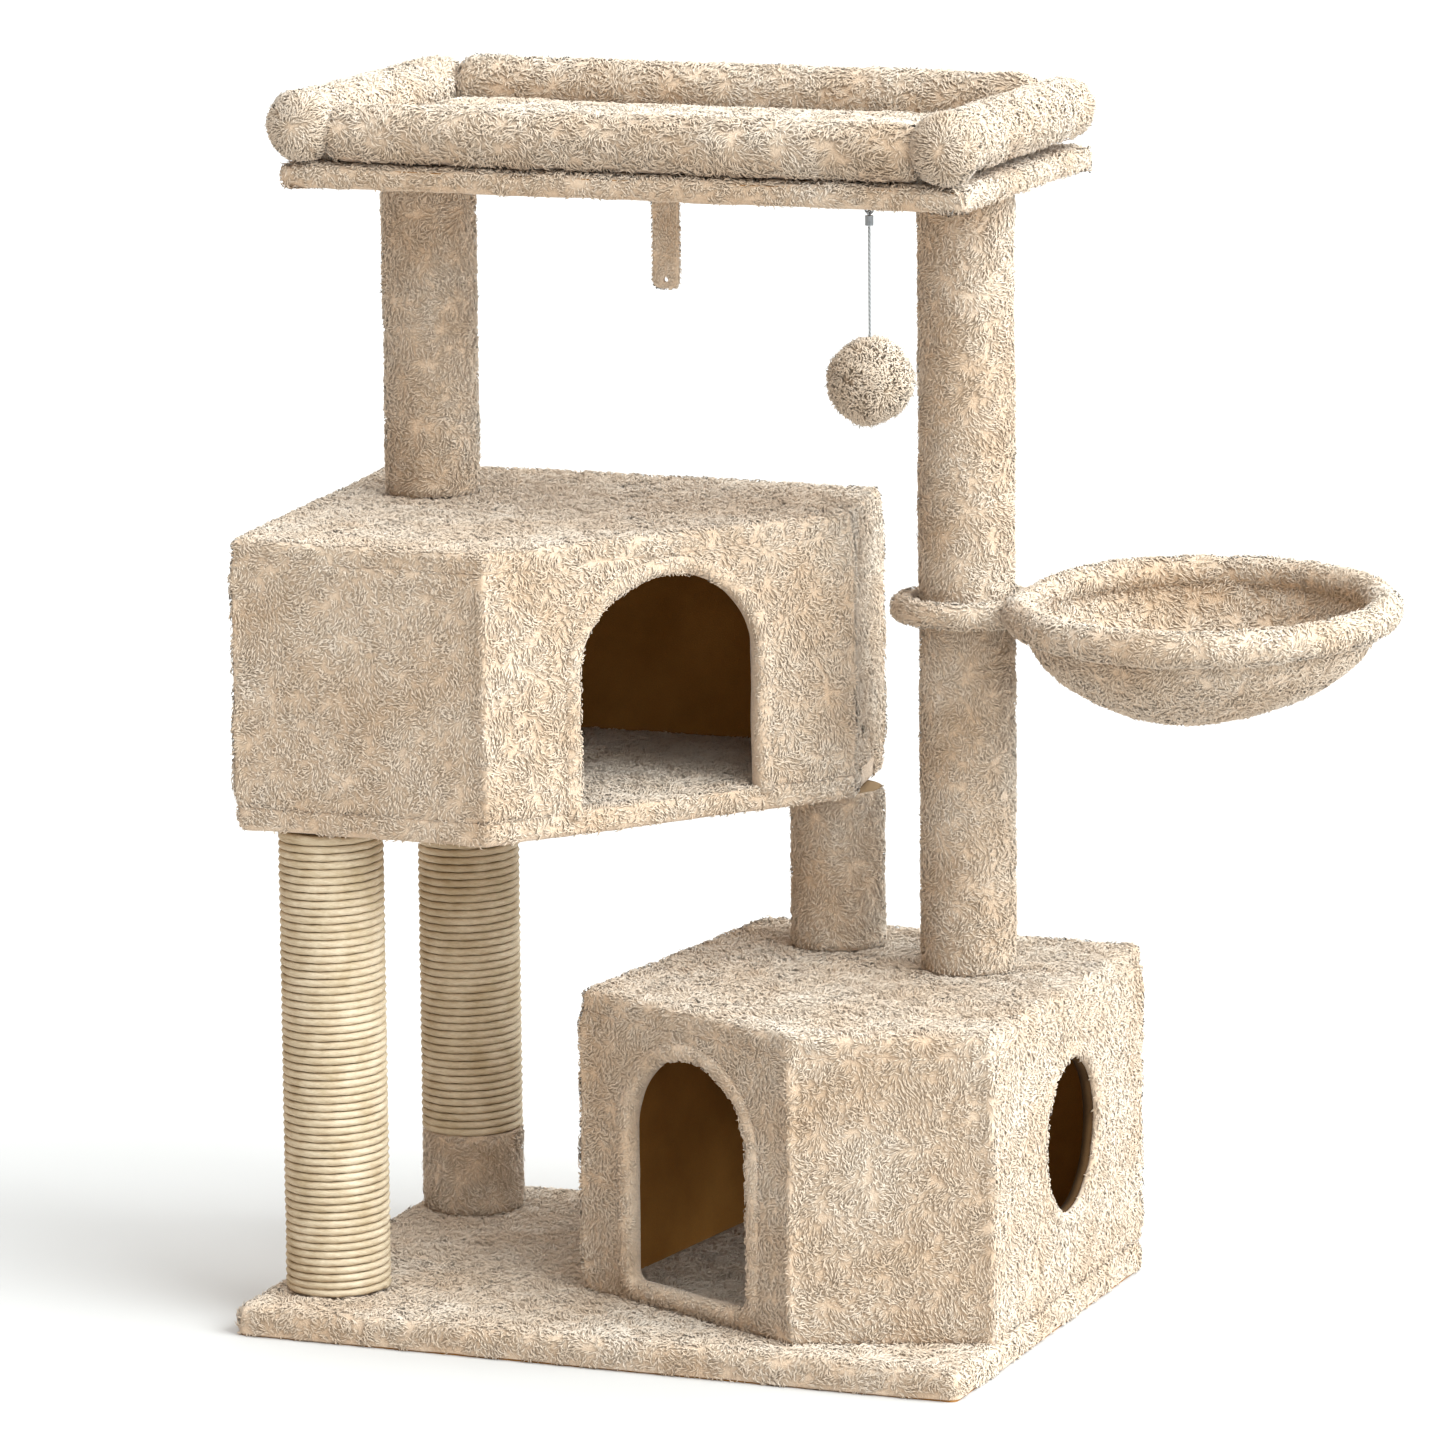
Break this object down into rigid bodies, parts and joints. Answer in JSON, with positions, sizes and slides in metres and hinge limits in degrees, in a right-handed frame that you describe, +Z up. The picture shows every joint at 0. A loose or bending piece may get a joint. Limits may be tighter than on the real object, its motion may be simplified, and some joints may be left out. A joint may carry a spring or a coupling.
{
  "type": "cat tree",
  "caption": "Floor-standing plush cat tree: two arched-door condos, sisal and plush posts, top perch with bolsters, swivelling basket, hanging pom-pom and strap.",
  "frame": {"origin": "centre of the base's underside, on the floor", "axes": "+X to the right seen from the front, towards the basket; +Y to the back; +Z up"},
  "size_m": [0.8813, 0.4608, 0.9519],
  "materials": {
    "plush": "matte",
    "sisal": "matte",
    "board": "matte",
    "cardboard": "matte",
    "steel": "satin",
    "string": "matte"
  },
  "bodies": {
    "root": {"base_board": "board", "base_plush_cover": "plush", "lower_wall_right": "board", "lower_wall_back": "board", "lower_wall_left": "board", "lower_wall_door": "board", "lower_wall_front": "board", "lower_walls_plush_cover": "plush", "lower_roof_plush_cover": "plush", "lower_roof_board": "board", "upper_wall_front": "board", "upper_wall_door": "board", "upper_wall_right": "board", "upper_wall_back": "board", "upper_wall_left": "board", "upper_walls_plush_cover": "plush", "upper_roof_plush_cover": "plush", "upper_roof_board": "board", "upper_floor_board": "board", "perch_board": "board", "upper_floor_plush_cover": "plush", "perch_plush_cover": "plush", "perch_pad": "plush", "perch_bolster_front": "plush", "perch_bolster_back": "plush", "perch_bolster_left": "plush", "perch_bolster_right": "plush", "perch_left_post_core": "cardboard", "perch_right_post_core": "cardboard", "condo_right_post_core": "cardboard", "condo_front_post_core": "cardboard", "condo_rear_post_core": "cardboard", "perch_left_post_plush_sleeve": "plush", "perch_right_post_plush_sleeve": "plush", "condo_right_post_plush_sleeve": "plush", "condo_rear_post_foot_sleeve": "plush", "condo_front_post_sisal_wrap": "sisal", "condo_rear_post_sisal_wrap": "sisal", "perch_left_post_bottom_bolt": "steel", "perch_right_post_bottom_bolt": "steel", "condo_right_post_bottom_bolt": "steel", "condo_front_post_bottom_bolt": "steel", "condo_rear_post_bottom_bolt": "steel", "perch_left_post_top_bolt": "steel", "perch_right_post_top_bolt": "steel", "condo_right_post_top_bolt": "steel", "condo_front_post_top_bolt": "steel", "condo_rear_post_top_bolt": "steel", "pom_pom_screw_eye": "steel"},
    "basket": {"basket_wire_frame": "steel", "basket_ring_plush_cover": "plush", "basket_loop_plush_cover": "plush", "basket_bowl": "plush"},
    "pom_pom_hanger": {"pom_pom_ferrule": "steel"},
    "pom_pom": {"pom_pom_string": "string", "pom_pom_ball": "plush"},
    "strap": {"hanging_strap": "plush"}
  },
  "joints": [
    {"name": "basket_swivel", "type": "hinge", "parent": "root", "child": "basket", "pos_m": [0.197, 0.088, 0.5505], "axis": [0, 0, 1], "range_deg": [-90, 75]},
    {"name": "pom_pom_fore_aft", "type": "hinge", "parent": "root", "child": "pom_pom_hanger", "pos_m": [0.181, -0.08, 0.8764], "axis": [1, 0, 0], "range_deg": [-35, 35]},
    {"name": "pom_pom_sideways", "type": "hinge", "parent": "pom_pom_hanger", "child": "pom_pom", "pos_m": [0.181, -0.08, 0.8666], "axis": [0, 1, 0], "range_deg": [-35, 35]},
    {"name": "strap_swing", "type": "hinge", "parent": "root", "child": "strap", "pos_m": [-0.016, 0, 0.8742], "axis": [1, 0, 0], "range_deg": [-60, 60]}
  ]
}
